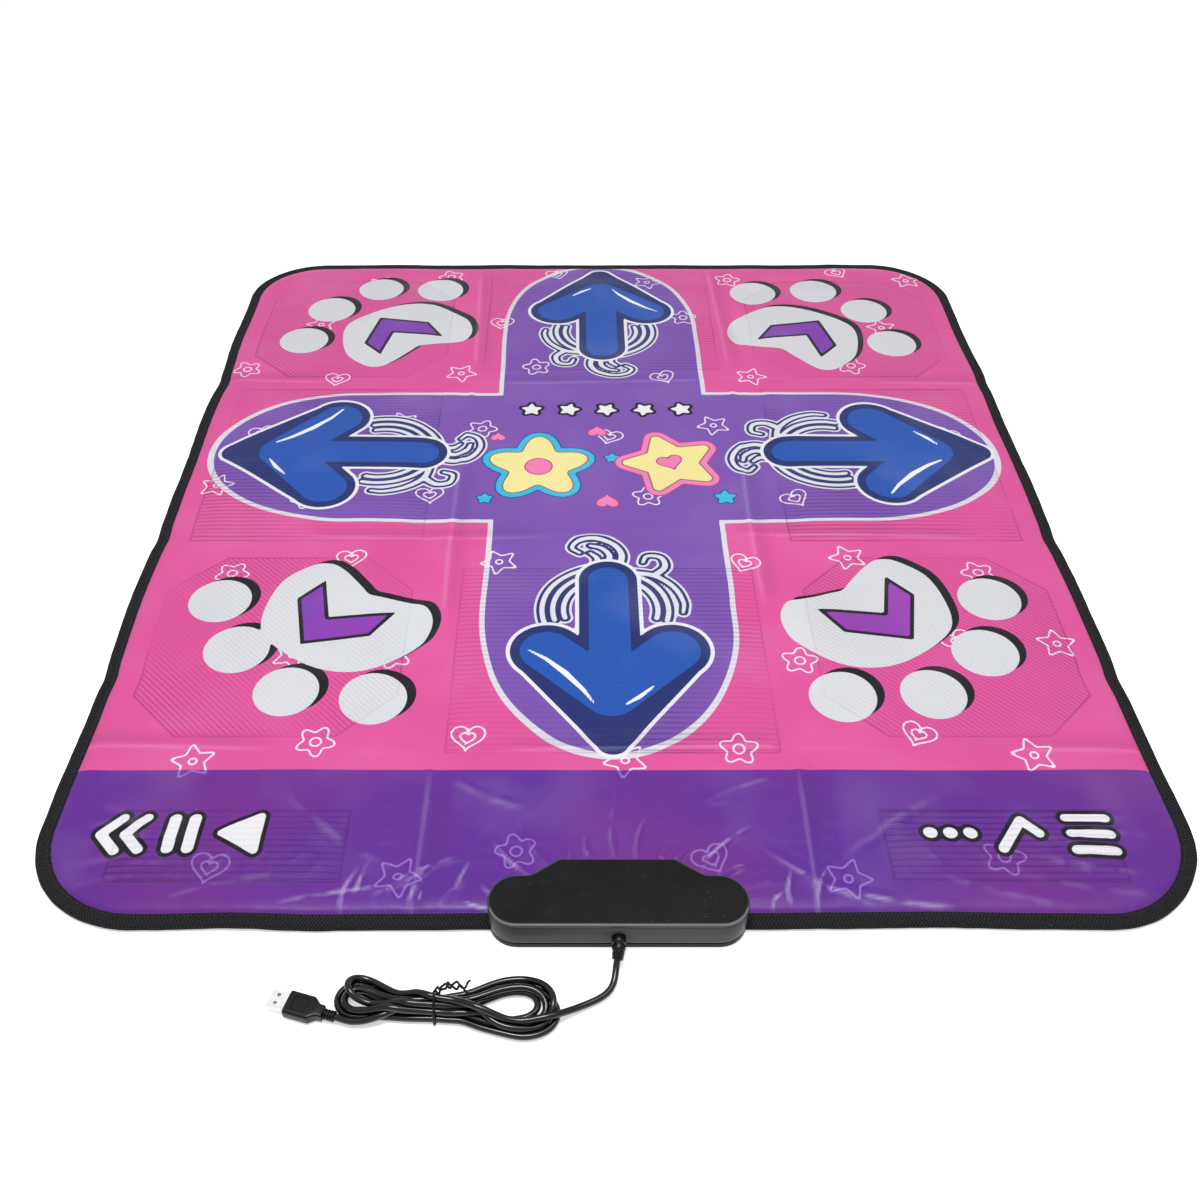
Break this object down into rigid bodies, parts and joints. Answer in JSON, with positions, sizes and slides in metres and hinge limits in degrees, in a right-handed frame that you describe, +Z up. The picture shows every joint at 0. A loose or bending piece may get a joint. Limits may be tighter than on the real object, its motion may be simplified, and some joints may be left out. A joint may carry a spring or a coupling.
{
  "type": "dance mat controller",
  "caption": "Soft layered floor mat with printed step zones that give underfoot, a moulded control box on one edge, and a USB lead wound into a tied hank.",
  "frame": {"origin": "centre of the footprint of mat and control box, on the floor", "axes": "+Z up; -Y towards the edge with the control box, which is the top of the mat for the player; +X to the player's left"},
  "size_m": [0.81, 0.9957, 0.025],
  "materials": {
    "printed_vinyl": "semi-gloss printed vinyl laminated on a fine woven backing",
    "nonslip_base_cloth": "matt cloth with raised rubber dots",
    "black_webbing": "woven herringbone webbing",
    "white_foam": "closed-cell foam",
    "polyester_film": "clear film printed with conductive ink",
    "silver_ink_contact": "silver conductive ink on film",
    "black_abs": "satin moulded plastic",
    "circuit_board": "green solder mask",
    "black_epoxy": "poured epoxy and shrink sleeve",
    "soft_rubber": "soft moulded rubber",
    "zinc_plated_steel": "zinc plated",
    "nickel_plated_shell": "bright nickel plate",
    "gold_contact": "gold flash",
    "tongue_plastic": "moulded insulator",
    "black_pvc": "glossy PVC sheath",
    "wire_insulation": "PVC insulation"
  },
  "bodies": {
    "mat": {"top_cover": "printed_vinyl", "base_cover": "nonslip_base_cloth", "binding": "black_webbing", "base_foam": "white_foam", "spacer_foam": "white_foam", "lower_film": "polyester_film", "upper_film": "polyester_film", "box_upper_shell": "black_abs", "box_lower_shell": "black_abs", "tail_clamp_bar": "black_abs", "circuit_board": "circuit_board", "chip_cover": "black_epoxy", "capacitor_1": "black_epoxy", "capacitor_2": "black_epoxy", "pressure_strip": "soft_rubber", "case_screw_1": "zinc_plated_steel", "case_screw_2": "zinc_plated_steel", "case_screw_3": "zinc_plated_steel", "case_screw_4": "zinc_plated_steel", "board_screw_1": "zinc_plated_steel", "board_screw_2": "zinc_plated_steel", "resonator": "zinc_plated_steel", "usb_shell": "nickel_plated_shell", "usb_contact_1": "gold_contact", "usb_contact_2": "gold_contact", "usb_contact_3": "gold_contact", "usb_contact_4": "gold_contact", "usb_tongue": "tongue_plastic", "strain_relief": "black_pvc", "cable_lead": "black_pvc", "cable_hank": "black_pvc", "cable_tail": "black_pvc", "plug_overmould": "black_pvc", "twist_tie": "black_pvc", "lead_wire_1": "wire_insulation", "lead_wire_2": "wire_insulation", "lead_wire_3": "wire_insulation", "lead_wire_4": "wire_insulation"},
    "zone_up": {"contact_up": "silver_ink_contact"},
    "zone_down": {"contact_down": "silver_ink_contact"},
    "zone_left": {"contact_left": "silver_ink_contact"},
    "zone_right": {"contact_right": "silver_ink_contact"},
    "zone_up_left": {"contact_up_left": "silver_ink_contact"},
    "zone_up_right": {"contact_up_right": "silver_ink_contact"},
    "zone_down_left": {"contact_down_left": "silver_ink_contact"},
    "zone_down_right": {"contact_down_right": "silver_ink_contact"},
    "zone_start": {"contact_start": "silver_ink_contact"},
    "zone_select": {"contact_select": "silver_ink_contact"}
  },
  "joints": [
    {"name": "press_up", "type": "slide", "parent": "mat", "child": "zone_up", "axis": [0, 0, -1], "range_m": [0, 0.0017], "stiffness_N_per_m": 3000, "springref_m": -0.0003},
    {"name": "press_down", "type": "slide", "parent": "mat", "child": "zone_down", "axis": [0, 0, -1], "range_m": [0, 0.0017], "stiffness_N_per_m": 3000, "springref_m": -0.0003},
    {"name": "press_left", "type": "slide", "parent": "mat", "child": "zone_left", "axis": [0, 0, -1], "range_m": [0, 0.0017], "stiffness_N_per_m": 3000, "springref_m": -0.0003},
    {"name": "press_right", "type": "slide", "parent": "mat", "child": "zone_right", "axis": [0, 0, -1], "range_m": [0, 0.0017], "stiffness_N_per_m": 3000, "springref_m": -0.0003},
    {"name": "press_up_left", "type": "slide", "parent": "mat", "child": "zone_up_left", "axis": [0, 0, -1], "range_m": [0, 0.0017], "stiffness_N_per_m": 3000, "springref_m": -0.0003},
    {"name": "press_up_right", "type": "slide", "parent": "mat", "child": "zone_up_right", "axis": [0, 0, -1], "range_m": [0, 0.0017], "stiffness_N_per_m": 3000, "springref_m": -0.0003},
    {"name": "press_down_left", "type": "slide", "parent": "mat", "child": "zone_down_left", "axis": [0, 0, -1], "range_m": [0, 0.0017], "stiffness_N_per_m": 3000, "springref_m": -0.0003},
    {"name": "press_down_right", "type": "slide", "parent": "mat", "child": "zone_down_right", "axis": [0, 0, -1], "range_m": [0, 0.0017], "stiffness_N_per_m": 3000, "springref_m": -0.0003},
    {"name": "press_start", "type": "slide", "parent": "mat", "child": "zone_start", "axis": [0, 0, -1], "range_m": [0, 0.0017], "stiffness_N_per_m": 3000, "springref_m": -0.0003},
    {"name": "press_select", "type": "slide", "parent": "mat", "child": "zone_select", "axis": [0, 0, -1], "range_m": [0, 0.0017], "stiffness_N_per_m": 3000, "springref_m": -0.0003}
  ]
}
